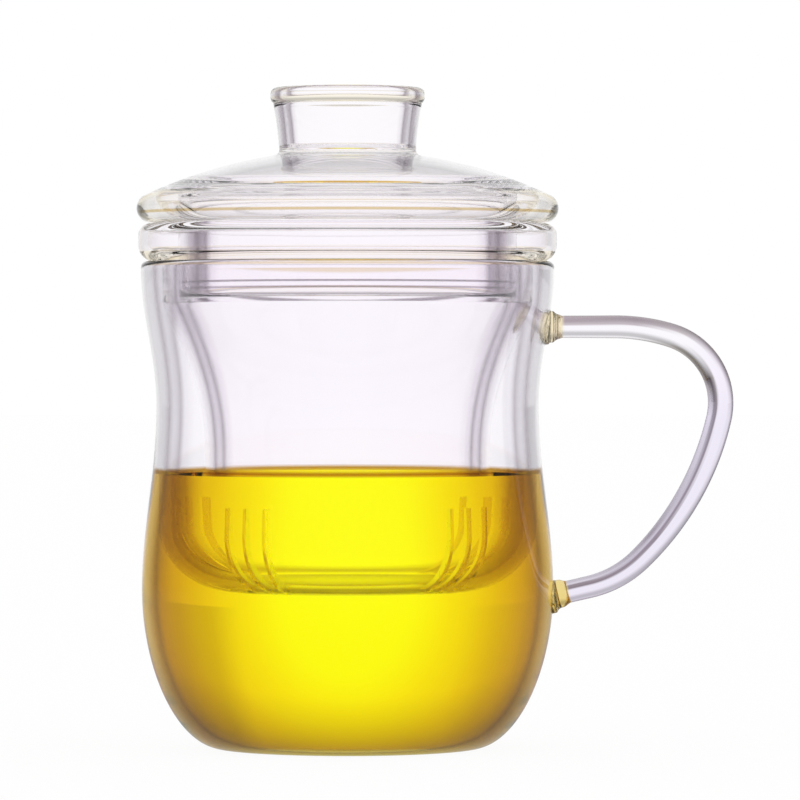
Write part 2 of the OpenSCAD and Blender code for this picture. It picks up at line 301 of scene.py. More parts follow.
glassIor, waterIor = 1.47, 1.333
wetIor = glassIor / waterIor
mugHigh = boxOf("mug_body")[1]
mug = {
    "height": mugHigh.z, "rimRadius": mugHigh.x, "waistIn": 3.2, "waistHeight": 70.5,
    "bellyRadius": 42.4, "bellyHeight": 32.5, "footRadius": 26.2, "baseFullness": 1.9,
    "wall": 2.5, "floor": 3.2, "inwardFrom": 0.05, "floorFrom": 0.5, "curveSteps": 44, "turnSteps": 192,
}
mugLook = {
    "name": "mugGlass", "ior": glassIor, "waves": 38, "draw": 0.5, "waveDepth": 0.05, "smear": 0.01,
    # painted shade: a dark line where the wall turns away
    "edge": [(0.0, (0.995, 0.984, 1.0)), (0.48, (0.985, 0.968, 0.995)), (0.58, (0.78, 0.75, 0.81)),
             (0.635, (0.3, 0.26, 0.3)), (0.7, (0.6, 0.57, 0.62)), (0.85, (0.88, 0.86, 0.9)),
             (1.0, (1.0, 1.0, 1.0))],
    # painted amber light in a narrow band just below the rim
    "rings": [{"low": mugHigh.z - 1.15, "high": mugHigh.z - 0.45, "radius": mugHigh.x - 1.5, "soft": 0.2,
               "tint": (0.74, 0.58, 0.34)}],
}


def mugRadius(z):
    waist = mug["rimRadius"] - mug["waistIn"]
    if z < mug["waistHeight"]:
        rise = mug["waistHeight"] - mug["bellyHeight"]
        return ease(mug["bellyRadius"], waist, (z - mug["bellyHeight"]) / rise)
    top = mug["height"] - mug["wall"] / 2
    return ease(waist, mug["rimRadius"], (z - mug["waistHeight"]) / (top - mug["waistHeight"]))


def mugOutside():
    steps = mug["curveSteps"]
    path = []
    for i in range(steps + 1):
        turn = math.pi / 2 * (1 - i / steps)
        share = 2 / mug["baseFullness"]
        out = max(0, math.cos(turn)) ** share
        up = 1 - math.sin(turn) ** share
        r = mug["footRadius"] + (mug["bellyRadius"] - mug["footRadius"]) * out
        path.append((r, mug["bellyHeight"] * up))
    top = mug["height"] - mug["wall"] / 2
    for low, high in ((mug["bellyHeight"], mug["waistHeight"]), (mug["waistHeight"], top)):
        for i in range(1, steps + 1):
            z = low + (high - low) * i / steps
            path.append((mugRadius(z), z))
    return path


def mugInside():
    return beside(mugOutside(), mug["floor"], mug["wall"], mug["curveSteps"])


rimMiddle = (mug["rimRadius"] - mug["wall"] / 2, mug["height"] - mug["wall"] / 2)
mugOutline = ([(0, 0)] + mugOutside() + arc(rimMiddle, mug["wall"] / 2, 0, 180, 14)[1:-1]
              + mugInside()[::-1] + [(0, mug["floor"])])
mugGlass = piece("mug_glass", turned(mugOutline, mug["turnSteps"]), glassMaterial(mugLook), "mug",
                 ["mug_body"])
# under the tea, a faint painted warm shade where the wall turns away
wetMugLook = dict(mugLook, name="wetMugGlass", ior=wetIor, rings=(),
                  edge=[(0.0, (1.0, 1.0, 1.0)), (0.3, (1.0, 1.0, 1.0)), (1.0, (0.95, 0.92, 0.85))])
mugGlass.data.materials.append(glassMaterial(wetMugLook))
print("mug turned")


handle = {
    "height": mug["height"] - 13.5, "topRun": 13.7, "endRadius": 2.3, "gripRadius": 2.65,
    "bends": [(39, 17.5), (14.5, 85.5), (59.4, 32.5), (22, 31.5)],
    "sides": 48, "ringGap": 1.0, "weldRingGap": 0.15, "sunk": 1.2, "weldFall": 1.2, "wallTries": 6,
    "upperWeld": {"radius": 3.7, "length": 2.9, "ripples": 4, "depth": 0.14},
    "lowerWeld": {"radius": 3.7, "length": 3.2, "ripples": 2, "depth": 0.3},
    # painted straw-coloured light at each weld, and the painted shade lines of the rod next to the lower one
    "upperStrawLight": [(0.0, (0.9, 0.8, 0.5)), (1.0, (0.95, 0.87, 0.62))],
    "lowerStrawLight": [(0.0, (0.85, 0.68, 0.22)), (1.0, (0.9, 0.74, 0.3))],
    "lowerRodShade": [(0.0, (0.12, 0.1, 0.12)), (0.06, (0.4, 0.36, 0.42)), (0.12, (0.9, 0.87, 0.95)),
                 (0.56, (0.9, 0.87, 0.95)), (0.64, (0.08, 0.06, 0.07)), (0.78, (0.12, 0.09, 0.1)),
                 (0.84, (0.8, 0.76, 0.84)), (1.0, (0.33, 0.3, 0.35))],
}
handleLook = {
    "name": "handleGlass", "ior": glassIor, "waves": 60, "draw": 1, "waveDepth": 0.03, "smear": 0.01,
    # painted shade at the rod's grazing edges
    "edge": [(0.0, (0.97, 0.95, 0.99)), (0.8, (0.96, 0.94, 0.98)), (1.0, (0.8, 0.78, 0.8))],
    # painted shade lines and straw-coloured light along the rod, from its outer side (0) to its inner side
    # (1), by the share of its length
    "drawn": [
        (0.0, handle["upperStrawLight"]), (0.024, handle["upperStrawLight"]),
        (0.034, [(0.0, (0.08, 0.06, 0.07)), (0.06, (0.5, 0.43, 0.46)), (0.2, (0.42, 0.36, 0.38)),
                (0.42, (0.45, 0.38, 0.41)), (0.48, (1, 1, 1)), (0.94, (1, 1, 1)), (1.0, (0.3, 0.28, 0.24))]),
        (0.18, [(0.0, (0.08, 0.06, 0.07)), (0.06, (0.34, 0.28, 0.31)), (0.2, (0.29, 0.24, 0.26)),
                (0.38, (0.33, 0.27, 0.3)), (0.44, (1, 1, 1)), (0.93, (1, 1, 1)), (1.0, (0.3, 0.28, 0.24))]),
        (0.28, [(0.0, (0.07, 0.05, 0.065)), (0.1, (0.14, 0.12, 0.125)), (0.26, (0.37, 0.32, 0.34)),
                (0.33, (1, 1, 1)), (0.78, (1, 1, 1)), (0.85, (0.42, 0.4, 0.33)), (1.0, (0.28, 0.25, 0.2))]),
        (0.38, [(0.0, (0.05, 0.04, 0.045)), (0.09, (0.12, 0.1, 0.115)), (0.18, (0.57, 0.51, 0.58)),
                (0.24, (0.96, 0.93, 1)), (0.56, (0.96, 0.93, 1)), (0.63, (0.18, 0.16, 0.15)),
                (0.75, (0.012, 0.008, 0.008)), (0.9, (0.03, 0.02, 0.02)), (1.0, (0.42, 0.38, 0.38))]),
        (0.47, [(0.0, (0.09, 0.08, 0.1)), (0.07, (0.26, 0.24, 0.28)), (0.13, (0.9, 0.87, 0.95)),
                (0.62, (0.9, 0.87, 0.95)), (0.67, (0.09, 0.07, 0.09)), (0.79, (0.14, 0.12, 0.15)),
                (0.84, (0.56, 0.53, 0.62)), (0.93, (0.7, 0.66, 0.78)), (1.0, (0.35, 0.32, 0.4))]),
        (0.75, [(0.0, (0.12, 0.1, 0.12)), (0.05, (0.45, 0.41, 0.48)), (0.1, (0.9, 0.87, 0.95)),
                (0.54, (0.9, 0.87, 0.95)), (0.59, (0.09, 0.07, 0.087)), (0.72, (0.13, 0.1, 0.13)),
                (0.77, (0.7, 0.64, 0.76)), (0.92, (0.78, 0.75, 0.84)), (1.0, (0.33, 0.3, 0.35))]),
        (0.93, handle["lowerRodShade"]), (0.966, handle["lowerRodShade"]),
        (0.976, handle["lowerStrawLight"]), (1.0, handle["lowerStrawLight"])],
}


def handleRoute():
    # centreline as (x, z, heading) from the mug's wall to the mug's wall
    x, z, heading = mugRadius(handle["height"]), handle["height"], 0.0
    route = []
    for i in range(int(handle["topRun"] / handle["weldRingGap"])):
        route.append((x + handle["weldRingGap"] * i, z, heading))
    x += handle["topRun"]
    for radius, turn in handle["bends"]:
        centre = (x + radius * math.sin(heading), z - radius * math.cos(heading))
        steps = math.ceil(radius * math.radians(turn) / handle["ringGap"])
        for i in range(1, steps + 1):
            now = heading - math.radians(turn) * i / steps
            x, z = centre[0] - radius * math.sin(now), centre[1] + radius * math.cos(now)
            route.append((x, z, now))
        heading -= math.radians(turn)
    low = 0.0
    for tries in range(handle["wallTries"]):
        low = (mugRadius(z + low * math.sin(heading)) - x) / math.cos(heading)
    steps = math.ceil(low / handle["weldRingGap"])
    for i in range(1, steps + 1):
        gone = low * i / steps
        route.append((x + gone * math.cos(heading), z + gone * math.sin(heading), heading))
    return route


def weldSwell(weld, run):
    # how much a weld adds to the rod's radius at a distance from the wall
    t = min(1, run / weld["length"])
    wave = 1 - weld["depth"] * math.sin(math.pi * weld["ripples"] * t)
    return (weld["radius"] - handle["endRadius"]) * (1 - t) ** handle["weldFall"] * wave


def handleMesh():
    route = handleRoute()
    runs = [0.0]
    for a, b in zip(route, route[1:]):
        runs.append(runs[-1] + math.hypot(b[0] - a[0], b[1] - a[1]))
    first, last = route[0], route[-1]
    sunk = handle["sunk"]
    route = ([(first[0] - sunk, first[1], first[2])] + route
             + [(last[0] + sunk * math.cos(last[2]), last[1] + sunk * math.sin(last[2]), last[2])])
    runs = [0.0] + runs + [runs[-1]]
    bm = bmesh.new()
    inward, along = (bm.verts.layers.float.new(name) for name in ("inward", "along"))
    verts = bmesh.ops.create_circle(bm, segments=handle["sides"], radius=1, cap_ends=True)["verts"]
    turnUp = Matrix.Rotation(math.pi / 2, 4, "Y")
    bmesh.ops.transform(bm, matrix=turnUp, verts=verts)
    loop = bm.edges[:]
    for i, ((x, z, heading), run) in enumerate(zip(route, runs)):
        grip = (handle["gripRadius"] - handle["endRadius"]) * math.sin(math.pi * run / runs[-1]) ** 2
        radius = handle["endRadius"] + grip + weldSwell(handle["upperWeld"], run)
        radius += weldSwell(handle["lowerWeld"], runs[-1] - run)
        place = (Matrix.Translation((x * mm, 0, z * mm)) @ Matrix.Rotation(-heading, 4, "Y")
                 @ Matrix.Scale(radius * mm, 4))
        if i == 0:
            bmesh.ops.transform(bm, matrix=place, verts=verts)
        else:
            made = bmesh.ops.extrude_edge_only(bm, edges=loop)["geom"]
            verts = [g for g in made if isinstance(g, bmesh.types.BMVert)]
            loop = [g for g in made if isinstance(g, bmesh.types.BMEdge) and all(v in verts for v in g.verts)]
            bmesh.ops.transform(bm, matrix=place @ before.inverted(), verts=verts)
        for v in verts:
            across = (v.co.x / mm - x) * math.sin(heading) - (v.co.z / mm - z) * math.cos(heading)
            v[inward] = 0.5 + across / radius / 2
            v[along] = run / runs[-1]
        before = place
    bmesh.ops.contextual_create(bm, geom=loop)
    bmesh.ops.recalc_face_normals(bm, faces=bm.faces)
    return bm


piece("handle_glass", handleMesh(), glassMaterial(handleLook), "mug",
      ["handle_rod", "upper_handle_weld", "lower_handle_weld"])
print("handle bent")


infLow, infHigh = boxOf("infuser")
infuser = {
    "bottom": infLow.z + 0.8, "collarRadius": infHigh.x, "collarTop": infHigh.z, "collarHeight": 7.9,
    "collarLowRadius": 3.4, "collarTopRadius": 2.3, "throatRadius": 1.2, "neckRadius": 38.2,
    "neckDepth": 8.2, "shoulderDepth": 40.2, "shoulderEase": 0.62, "basketRadius": 29.3,
    "cornerRadius": 12, "wall": 1.9, "lipBack": 0.9, "seam": 2.6, "seamBelow": 0.3,
    "curveSteps": 40, "turnSteps": 192,
}
slits = {"groups": 4, "perGroup": 3, "step": 8.5, "first": 50, "width": 1.0, "height": 17.2, "inner": 19,
         "topShare": 0.4, "topRound": 1.5, "roundSteps": 6, "past": 6, "nearTop": 0.1, "sharpFrom": 35,
         "groundFrom": 0.3}
infuserLook = {
    "name": "infuserGlass", "ior": glassIor, "waves": 45, "draw": 0.6, "waveDepth": 0.05, "smear": 0.01,
    # painted shade: a dark line where the wall turns away
    "edge": [(0.0, (0.995, 0.984, 1.0)), (0.48, (0.985, 0.968, 0.99)), (0.57, (0.7, 0.66, 0.72)),
             (0.63, (0.15, 0.12, 0.15)), (0.69, (0.55, 0.51, 0.56)), (0.82, (0.88, 0.86, 0.9)),
             (1.0, (1.0, 1.0, 1.0))],
}
# the collar is given a weaker bend than the rest, so that it stays pale, with painted warm shade where it
# turns away
collarLook = dict(infuserLook, name="collarGlass", ior=1.16,
                  edge=[(0.0, (0.995, 0.984, 1.0)), (0.55, (0.97, 0.95, 0.98)), (0.75, (0.86, 0.83, 0.86)),
                        (0.9, (0.82, 0.76, 0.7)), (1.0, (0.93, 0.9, 0.86))])
# the seam where the collar sits on the mug hardly bends light, and gets painted amber light where it turns
# away
seamLook = dict(infuserLook, name="seamGlass", ior=1.03,
                edge=[(0.0, (1.0, 0.99, 1.0)), (0.5, (0.96, 0.93, 0.9)), (1.0, (0.86, 0.76, 0.54))])
# under the tea, a painted dark amber shade line where the wall turns away
wetLook = dict(infuserLook, name="wetInfuserGlass", ior=wetIor,
               edge=[(0.0, (1.0, 1.0, 1.0)), (0.42, (1.0, 1.0, 1.0)), (0.6, (0.45, 0.32, 0.1)),
                     (0.72, (0.55, 0.42, 0.15)), (0.86, (1.0, 0.97, 0.8)), (1.0, (1.0, 1.0, 1.0))])
# the slits' cut sides are rough, with painted amber shade that deepens where they turn away
groundLook = dict(infuserLook, name="groundSlitGlass", ior=wetIor, smear=0.4, waves=900, waveDepth=0.01,
                  edge=[(0.0, (1.0, 0.95, 0.7)), (0.55, (0.85, 0.74, 0.4)), (1.0, (0.3, 0.2, 0.05))])


def infuserOutside():
    steps = infuser["curveSteps"]
    collar = infuser["collarTop"] - infuser["collarHeight"]
    straight = infuser["bottom"] + infuser["cornerRadius"]
    path = arc((infuser["basketRadius"] - infuser["cornerRadius"], straight), infuser["cornerRadius"],
               -90, 0, steps)
    low, high = collar - infuser["shoulderDepth"], collar - infuser["neckDepth"]
    for i in range(1, math.ceil(low - straight)):
        path.append((infuser["basketRadius"], straight + (low - straight) * i / math.ceil(low - straight)))
    for i in range(2 * steps + 1):
        t = 1 - i / (2 * steps)
        path.append((ease(infuser["neckRadius"], infuser["basketRadius"], t ** infuser["shoulderEase"]),
                     high + (low - high) * t))
    throat, out = infuser["throatRadius"], infuser["collarRadius"]
    lowRound, topRound = infuser["collarLowRadius"], infuser["collarTopRadius"]
    path += arc((infuser["neckRadius"] + throat, collar - throat), throat, 180, 90, 8)
    path += arc((out - lowRound, collar + lowRound), lowRound, -90, 0, 12)
    path += arc((out - topRound, infuser["collarTop"] - topRound), topRound, 0, 90, 10)
    lip = infuser["neckRadius"] - infuser["wall"] + infuser["lipBack"] + infuser["wall"] / 2
    path.append((lip, infuser["collarTop"]))
    return path


def infuserOutline():
    outside = infuserOutside()
    wall = infuser["wall"]
    inside = beside(outside, wall, wall, 1)
    lip = arc((outside[-1][0], infuser["collarTop"] - wall / 2), wall / 2, 90, 270, 10)[1:-1]
    return [(0, infuser["bottom"])] + outside + lip + inside[::-1] + [(0, infuser["bottom"] + wall)]


def slitCutters():
    # upright plates with round tops, one for each slit
    bm = bmesh.new()
    outer = infuser["basketRadius"] + slits["past"]
    low, high = infuser["bottom"] - slits["past"], infuser["bottom"] + slits["height"]
    for group in range(slits["groups"]):
        for n in range(slits["perGroup"]):
            angle = slits["first"] + group * 360 / slits["groups"]
            angle += (n - (slits["perGroup"] - 1) / 2) * slits["step"]
            made = bmesh.ops.create_cube(bm, size=1)["verts"]
            for v in made:
                if v.co.z > 0:
                    v.co.y *= slits["topShare"]
            size = (outer - slits["inner"], slits["width"], high - low)
            middle = ((outer + slits["inner"]) / 2 * mm, 0, (low + high) / 2 * mm)
            turn = Matrix.Rotation(math.radians(angle), 3, "Z")
            bmesh.ops.scale(bm, vec=[s * mm for s in size], verts=made)
            bmesh.ops.translate(bm, vec=middle, verts=made)
            tops = [e for v in made for e in v.link_edges
                    if all(p.co.z > (high - slits["nearTop"]) * mm for p in e.verts)
                    and abs(e.verts[0].co.x - e.verts[1].co.x) < tiny]
            bevelled = bmesh.ops.bevel(bm, geom=list(set(tops)), offset=slits["topRound"] * mm,
                                       segments=slits["roundSteps"], profile=0.5, affect="EDGES", material=-1)
            moved = [v for v in set(made) | set(bevelled["verts"]) if v.is_valid]
            bmesh.ops.rotate(bm, cent=(0, 0, 0), matrix=turn, verts=moved)
    return bm


def cutSlits(obj):
    cutterMesh = bpy.data.meshes.new("slitCutters")
    cutterBm = slitCutters()
    cutterBm.to_mesh(cutterMesh)
    cutterBm.free()
    cutter = bpy.data.objects.new("slitCutters", cutterMesh)
    scene.collection.objects.link(cutter)
    cut = obj.modifiers.new("slits", "BOOLEAN")
    cut.operation = "DIFFERENCE"
    cut.solver = "EXACT"
    cut.object = cutter
    bpy.context.view_layer.update()
    result = bpy.data.meshes.new_from_object(obj.evaluated_get(bpy.context.evaluated_depsgraph_get()))
    result.set_sharp_from_angle(angle=math.radians(slits["sharpFrom"]))
    obj.modifiers.remove(cut)
    obj.data = result
    bpy.data.objects.remove(cutter)


infuserGlass = piece("infuser_glass", turned(infuserOutline(), infuser["turnSteps"]),
                     glassMaterial(infuserLook), "infuser", ["infuser"])
cutSlits(infuserGlass)
for look in (wetLook, groundLook, collarLook, seamLook):
    infuserGlass.data.materials.append(glassMaterial(look))
print("infuser turned and slit")


teaHigh = boxOf("tea")[1]
tea = {
    "level": teaHigh.z - 1.2, "meniscus": 1.3, "meniscusWidth": 5.5, "overlap": 0.5, "floorOverlap": 1.8,
    "curl": 1.6, "drop": 4, "riseSteps": 24, "topGap": 0.3, "flatFrom": 0.985, "flatBand": 0.3,
    "fadeFrom": 3, "fadeTo": 0.1, "fade": 0.7, "turnSteps": 192,
    # colour taken at each face, from a straight look through it to a grazing one: the tea's own yellow,
    # deepened by painted shade towards a grazing look
    "side": [(0.0, (1.0, 1.0, 0.004)), (0.025, (1.0, 0.97, 0.003)), (0.06, (0.97, 0.8, 0.002)),
             (0.12, (0.86, 0.59, 0.001)), (0.18, (0.72, 0.42, 0.001)), (0.24, (0.56, 0.28, 0.001)),
             (0.262, (0.6, 0.33, 0.003)), (0.285, (0.85, 0.62, 0.1)), (0.36, (0.92, 0.76, 0.1)),
             (1.0, (0.92, 0.76, 0.1))],
    "top": [(0.0, (1.0, 0.98, 0.01)), (0.5, (0.95, 0.85, 0.005)), (1.0, (0.9, 0.72, 0.003))],
    # painted dark amber shade along the meniscus
    "meniscusShade": [(0.0, (0.5, 0.27, 0.003)), (1.0, (0.5, 0.27, 0.003))],
}


def teaOutline():
    inside = beside(mugOutside(), mug["floor"] - tea["floorOverlap"], mug["wall"] - tea["overlap"],
                    mug["curveSteps"])
    top = tea["level"] + tea["meniscus"]
    wet = [p for p in inside if p[1] < top - tea["topGap"]]
    wallRadius = mugRadius(top) - mug["wall"] + tea["overlap"]
    outline = [(0, mug["floor"] - tea["floorOverlap"])] + wet + [(wallRadius, top)]
    for i in range(tea["riseSteps"] + 1):
        t = i / tea["riseSteps"]
        inward = t ** tea["curl"]
        rise = tea["meniscus"] * math.exp(-tea["drop"] * inward) * (1 - t)
        r = wallRadius - tea["overlap"] - tea["meniscusWidth"] * inward
        outline.append((r, tea["level"] + rise))
    outline.append((0, tea["level"]))
    return outline


def teaMaterial(name, edge, fades=False):
    # the wet glass round the tea bends the light, so the tea itself only colours it
    material = bpy.data.materials.new(name)
    material.use_nodes = True
    tree = material.node_tree
    shader = tree.nodes["Principled BSDF"]
    shader.inputs["Transmission Weight"].default_value = 1
    shader.inputs["IOR"].default_value = 1
    shader.inputs["Roughness"].default_value = 0
    # the tea's own colour, with painted shade where a face turns away
    colour = byTurn(tree, edge)
    # the painted meniscus shade shows only between heights round the tea's surface
    if fades:
        coords = tree.nodes.new("ShaderNodeTexCoord")
        band = {"low": tea["level"] - tea["fadeFrom"], "high": tea["level"] + tea["meniscus"] - tea["fadeTo"],
                "radius": 0, "soft": tea["fade"]}
        colour = mixColour(tree, ringMask(tree, coords.outputs["Object"], band), (1.0, 1.0, 1.0), colour)
    link(tree, colour, shader.inputs["Base Color"])
    return material


teaPiece = piece("tea_liquid", turned(teaOutline(), tea["turnSteps"]), teaMaterial("teaSide", tea["side"]),
                 "mug", ["tea"])
teaPiece.data.materials.append(teaMaterial("teaTop", tea["top"]))
teaPiece.data.materials.append(teaMaterial("teaMeniscus", tea["meniscusShade"], fades=True))
for face in teaPiece.data.polygons:
    if face.normal.z > tea["flatFrom"] and face.center.z < (tea["level"] + tea["flatBand"]) * mm:
        face.material_index = 1
    elif face.center.z > tea["level"] * mm:
        face.material_index = 2
for face in mugGlass.data.polygons:
    onFloor = face.normal.z > mug["floorFrom"] and face.center.z < mug["bellyHeight"] * mm
    inside = leanOf(face)[0] < -mug["inwardFrom"] or onFloor
    face.material_index = int(inside and face.center.z < tea["level"] * mm)
collarFrom = infuser["collarTop"] - infuser["collarHeight"] - infuser["seamBelow"]
for face in infuserGlass.data.polygons:
    if face.center.z > collarFrom * mm:
        face.material_index = 4 if face.center.z < (collarFrom + infuser["seam"]) * mm else 3
    elif face.center.z > tea["level"] * mm:
        face.material_index = 0
    else:
        face.material_index = 2 if abs(leanOf(face)[1]) > slits["groundFrom"] else 1
print("tea poured")


domeLow, domeHigh = boxOf("lid_dome")
skirtLow, skirtHigh = boxOf("lid_skirt")
knobHigh = boxOf("lid_knob")[1]
lid = {
    "radius": domeHigh.x, "beadRadius": 3, "beadFoot": 0.9, "bottom": domeLow.z, "domeRadius": 98,
    "wall": 2.3, "beadRise": 6.5, "skirtRadius": skirtHigh.x, "skirtWall": 2, "skirtBottom": skirtLow.z,
    "skirtJoin": 0.7, "skirtFrom": 0.2,
    # painted shade lines round the skirt: height above its edge, and brightness
    "skirtShadeLines": [(0.5, 0.55), (1.9, 0.5), (3.1, 0.4)], "lineWidth": 0.5, "lineSoft": 0.12,
    "lineGreen": 0.94, "domeSteps": 40, "skirtSteps": 14, "turnSteps": 192,
}
knob = {
    "footRadius": 14.1, "neckRadius": 15.3, "lip": 0.6, "rimHeight": 3.4, "edgeRadius": 1.3,
    "top": knobHigh.z, "wall": 1.7, "flare": 1.6, "weld": 1.3,
    "sideSteps": 18, "cupJoin": 1.0, "cupRise": 1.2, "weldJoin": 0.6, "lookDepth": 12.5,
    "lookFrom": 11, "lookPast": 2,
}
lidLook = {
    "name": "lidGlass", "ior": glassIor, "waves": 45, "draw": 2.5, "waveDepth": 0.06, "smear": 0.01,
    # painted grey shade lines where the dome turns away
    "edge": [(0.0, (0.995, 0.984, 1.0)), (0.5, (0.985, 0.972, 0.99)), (0.7, (0.975, 0.96, 0.98)),
             (0.77, (0.86, 0.84, 0.87)), (0.85, (0.7, 0.68, 0.71)), (0.93, (0.78, 0.76, 0.79)),
             (1.0, (0.95, 0.94, 0.96))],
    # painted light: a pale straw tint over the bead, a thin amber line at its foot, and a straw band round
    # the knob's rim
    "rings": [{"low": lid["bottom"] - 0.5, "high": lid["bottom"] + 5.5, "radius": lid["radius"] - 3,
               "soft": 1.5, "tint": (0.995, 0.985, 0.95)},
              {"low": lid["bottom"] + 1.7, "high": lid["bottom"] + 2.5, "radius": lid["radius"] - 2,
               "soft": 0.2, "tint": (0.6, 0.42, 0.16)},
              {"low": knob["top"] - 3.6, "high": knob["top"] - 1.6, "radius": knob["neckRadius"] - 1,
               "soft": 0.5, "tint": (0.95, 0.88, 0.66)}],
}
for rise, shade in lid["skirtShadeLines"]:
    middle = lid["skirtBottom"] + rise
    lidLook["rings"].append({"low": middle - lid["lineWidth"] / 2, "high": middle + lid["lineWidth"] / 2,
                             "radius": lid["skirtRadius"] - 2 * lid["skirtWall"], "soft": lid["lineSoft"],
                             "tint": (shade, shade * lid["lineGreen"], shade)})
# the upright walls of knob and skirt get a painted dark shade band about halfway to a grazing look
uprightLook = dict(lidLook, name="uprightLidGlass", edge=[
    (0.0, (0.995, 0.984, 1.0)), (0.4, (0.988, 0.975, 0.99)), (0.48, (0.75, 0.71, 0.77)),
    (0.54, (0.15, 0.12, 0.15)), (0.64, (0.3, 0.26, 0.3)), (0.76, (0.8, 0.77, 0.82)), (1.0, (1.0, 1.0, 1.0))])
# the bead is given a weaker bend than the dome, and its turned-away sides get painted straw-coloured light
beadLook = dict(lidLook, name="beadGlass", ior=1.2, edge=[
    (0.0, (0.995, 0.984, 1.0)), (0.5, (0.985, 0.972, 0.98)), (0.72, (0.96, 0.94, 0.93)),
    (0.86, (0.74, 0.66, 0.44)), (1.0, (0.9, 0.85, 0.68))])


def lidOutline():
    bead, wall = lid["beadRadius"], lid["wall"]
    beadOut, beadHeight = lid["radius"] - bead, lid["bottom"] + bead
    reach = lid["domeRadius"] - bead
    centre = beadHeight - math.sqrt(reach ** 2 - beadOut ** 2)
    lean = math.degrees(math.asin(beadOut / reach))
    innerRadius = lid["domeRadius"] - wall

    def onDome(r, radius):
        return (r, centre + math.sqrt(radius ** 2 - r ** 2))

    def angleAt(r, radius):
        return math.degrees(math.acos(r / radius))

    def upright(r, start, end):
        steps = lid["skirtSteps"]
        return [(r, start + (end - start) * (i / steps)) for i in range(steps + 1)]

    # knob, from the middle of its cup up over the rim and down to its weld
    neckTop = knob["top"] - knob["rimHeight"]
    foot = onDome(knob["footRadius"], lid["domeRadius"])[1]
    side = []
    for i in range(knob["sideSteps"] + 1):
        t = i / knob["sideSteps"]
        side.append((knob["footRadius"] + (knob["neckRadius"] - knob["footRadius"]) * t ** knob["flare"],
                     foot + (neckTop - foot) * t))
    inner = [(r - knob["wall"], z) for r, z in side]
    rimOut = knob["neckRadius"] + knob["lip"] - knob["edgeRadius"]
    rimInner = arc((rimOut, neckTop + knob["edgeRadius"]), knob["edgeRadius"], 235, 180, 5)
    rimTop = arc((rimOut, knob["top"] - knob["edgeRadius"]), knob["edgeRadius"], 180, 0, 14)
    rimOuter = arc((rimOut, neckTop + knob["edgeRadius"]), knob["edgeRadius"], 0, -55, 5)
    cupEdge = angleAt(inner[0][0] - knob["cupJoin"], lid["domeRadius"])
    cupFloor = arc((0, centre), lid["domeRadius"], 90, cupEdge, 8)
    hollow = knob["weld"]
    weldFoot = onDome(knob["footRadius"] + hollow, lid["domeRadius"])
    weldPath = arc((knob["footRadius"] + hollow, weldFoot[1] + hollow), hollow, 180, 270, 6)
    sideUp = [p for p in side if p[1] > weldPath[0][1]]
    innerUp = [p for p in inner if p[1] > foot + knob["cupRise"]]
    outline = cupFloor + innerUp + rimInner + rimTop + rimOuter + sideUp[::-1] + weldPath
    # dome, bead and the inside with the skirt
    domeFrom = angleAt(weldFoot[0] + knob["weldJoin"], lid["domeRadius"])
    outline += arc((0, centre), lid["domeRadius"], domeFrom, 90 - lean, lid["domeSteps"])
    outline += arc((beadOut, beadHeight), bead, 90 - lean, -90, 36)[1:]
    beadFoot = lid["beadFoot"]
    outline += arc((beadOut, lid["bottom"] + beadFoot), beadFoot, -90, -180, 6)[1:]
    beadIn = beadOut - beadFoot
    outline.append((beadIn, onDome(beadIn, innerRadius)[1] - beadFoot / 2))
    skirtOut, skirtIn = lid["skirtRadius"], lid["skirtRadius"] - lid["skirtWall"]
    join = lid["skirtJoin"]
    outline += arc((0, centre), innerRadius, angleAt(beadIn - beadFoot / 2, innerRadius),
                   angleAt(skirtOut + join, innerRadius), 6)
    edge = lid["skirtWall"] / 2
    low = lid["skirtBottom"] + edge
    outline += upright(skirtOut, onDome(skirtOut, innerRadius)[1] - join, low)
    outline += arc((skirtOut - edge, low), edge, 0, -180, 12)[1:-1]
    outline += upright(skirtIn, low, onDome(skirtIn, innerRadius)[1] - join)
    outline += arc((0, centre), innerRadius, angleAt(skirtIn - join, innerRadius), 90, 30)
    return outline


lidGlass = piece("lid_glass", turned(lidOutline(), lid["turnSteps"]), glassMaterial(lidLook), "lid",
                 ["lid_dome", "lid_skirt", "lid_knob", "knob_weld"])
for look in (uprightLook, beadLook):
    lidGlass.data.materials.append(glassMaterial(look))
for face in lidGlass.data.polygons:
    across = math.hypot(face.center.x, face.center.y) / mm
    height = face.center.z / mm
    nearNeck = knob["lookFrom"] < across < knob["neckRadius"] + knob["lookPast"]
    onKnob = height > knob["top"] - knob["lookDepth"] and nearNeck
    onBead = across > lid["radius"] - 2 * lid["beadRadius"] and height < lid["bottom"] + lid["beadRise"]
    onSkirt = height < lid["bottom"] - lid["skirtFrom"]
    face.material_index = 1 if onKnob or onSkirt else 2 if onBead else 0
print("lid turned")


